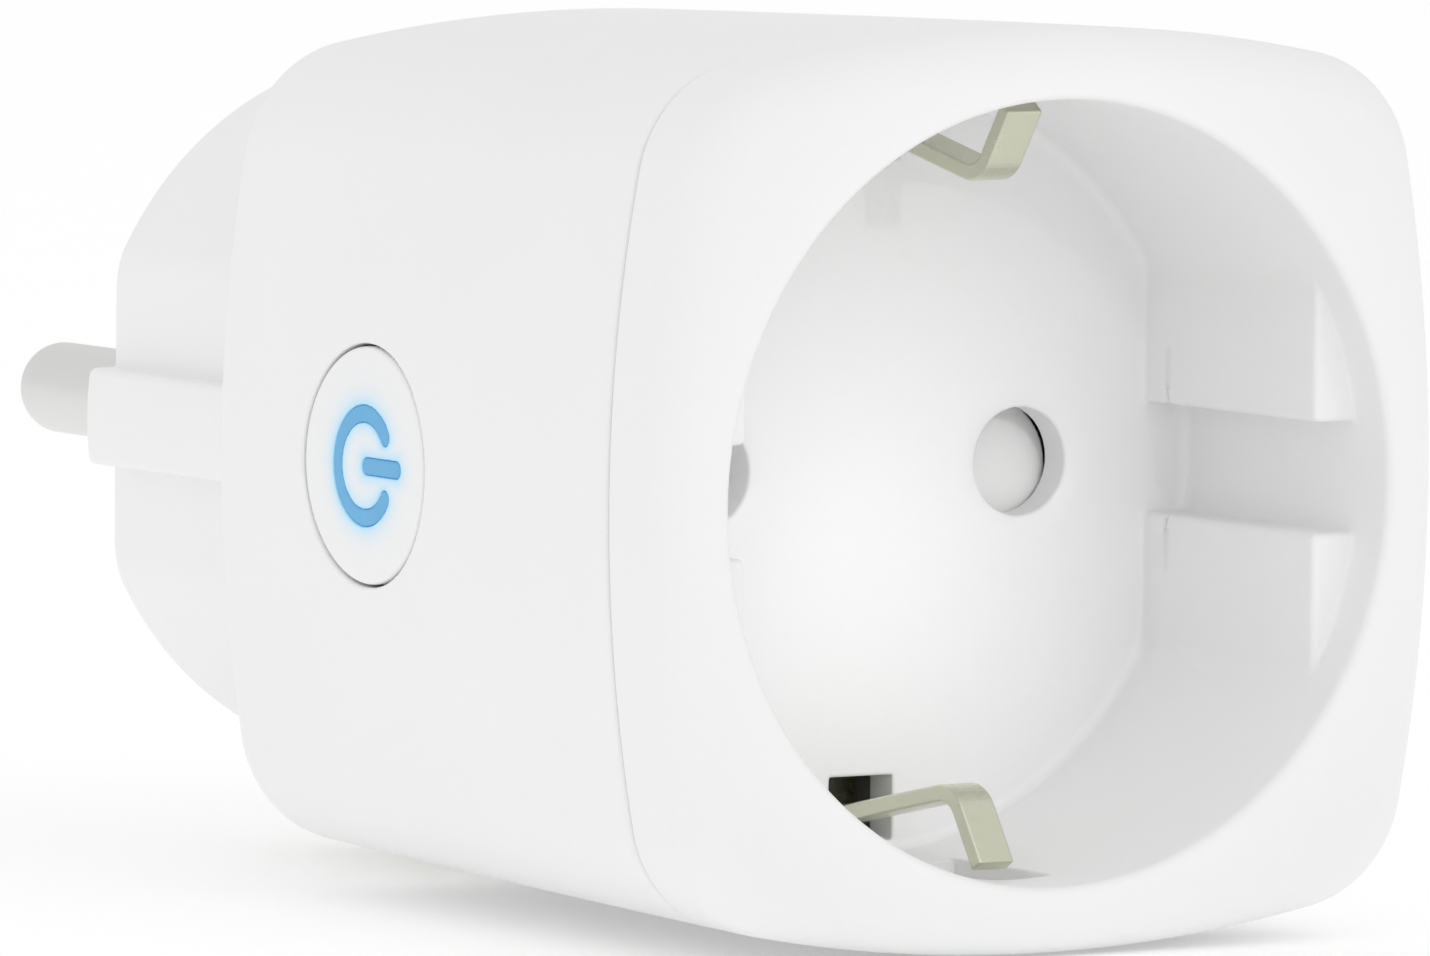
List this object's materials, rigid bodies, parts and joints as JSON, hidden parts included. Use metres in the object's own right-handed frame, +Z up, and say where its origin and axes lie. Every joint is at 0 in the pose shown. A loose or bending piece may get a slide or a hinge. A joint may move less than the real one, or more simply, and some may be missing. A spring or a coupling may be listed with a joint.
{
  "type": "smart plug",
  "caption": "Plug-in smart plug: round pinned plug at the back, recessed earthed socket at the front and a lit power button on the side.",
  "frame": {"origin": "centre of the plug's end face, midway between the two pins", "axes": "+Y into the wall along the pins, +Z up, +X to the right seen from the front; the button is on the -X side"},
  "size_m": [0.046, 0.0835, 0.046],
  "materials": {
    "white_plastic": "satin moulded, very fine grain",
    "button_plastic": "satin moulded",
    "carrier_plastic": "satin",
    "shutter_plastic": "satin",
    "nickel": "satin nickel plating",
    "plated_brass": "pale plated brass, stamped",
    "contact_brass": "stamped brass",
    "spring_steel": "drawn wire",
    "screw_steel": "zinc plated",
    "circuit_board": "solder mask",
    "black_board": "solder mask",
    "relay_case": "moulded",
    "winding": "taped winding",
    "film_case": "boxed",
    "capacitor_sleeve": "shrink sleeve",
    "fuse_body": "ceramic tube",
    "varistor_coat": "epoxy dip",
    "shield_metal": "tinned can",
    "black_plastic": "moulded",
    "switch_grey": "moulded",
    "led_lens": "clear",
    "diffuser": "frosted",
    "symbol_light": "lit translucent insert"
  },
  "bodies": {
    "housing": {"front_cover": "white_plastic", "main_housing": "white_plastic", "plug_base": "white_plastic", "line_pin": "nickel", "neutral_pin": "nickel", "rear_earth_contacts": "plated_brass", "earth_pin_socket": "plated_brass", "earth_bridge": "plated_brass", "line_contact": "contact_brass", "neutral_contact": "contact_brass", "contact_carrier": "carrier_plastic", "shutter_spring": "spring_steel", "carrier_screws": "screw_steel", "base_screws": "screw_steel", "line_busbar": "contact_brass", "neutral_busbar": "contact_brass", "power_board": "circuit_board", "relay": "relay_case", "transformer": "winding", "film_capacitor": "film_case", "smoothing_capacitors": "capacitor_sleeve", "fuse": "fuse_body", "varistor": "varistor_coat", "control_board": "circuit_board", "radio_module": "black_board", "radio_shield": "shield_metal", "regulator": "black_plastic", "board_connector": "black_plastic", "switch_body": "black_plastic", "status_led": "led_lens"},
    "button": {"button_cap": "button_plastic", "light_guide": "diffuser", "power_symbol": "symbol_light", "switch_plunger": "switch_grey"},
    "shutter_plate": {"shutter": "shutter_plastic"},
    "clip_top": {"earth_clip_top": "plated_brass"},
    "clip_bottom": {"earth_clip_bottom": "plated_brass"}
  },
  "joints": [
    {"name": "button_press", "type": "slide", "parent": "housing", "child": "button", "axis": [1, 0, 0], "range_m": [0, 0.0005], "stiffness_N_per_m": 3000},
    {"name": "shutter_turn", "type": "hinge", "parent": "housing", "child": "shutter_plate", "pos_m": [0, -0.0429, 0], "axis": [0, 1, 0], "range_deg": [0, 40], "stiffness_Nm_per_rad": 0.01},
    {"name": "clip_top_flex", "type": "hinge", "parent": "housing", "child": "clip_top", "pos_m": [0, -0.0431, 0.0176], "axis": [-1, 0, 0], "range_deg": [0, 3.5], "stiffness_Nm_per_rad": 1.2},
    {"name": "clip_bottom_flex", "type": "hinge", "parent": "housing", "child": "clip_bottom", "pos_m": [0, -0.0431, -0.0176], "axis": [1, 0, 0], "range_deg": [0, 3.5], "stiffness_Nm_per_rad": 1.2}
  ]
}
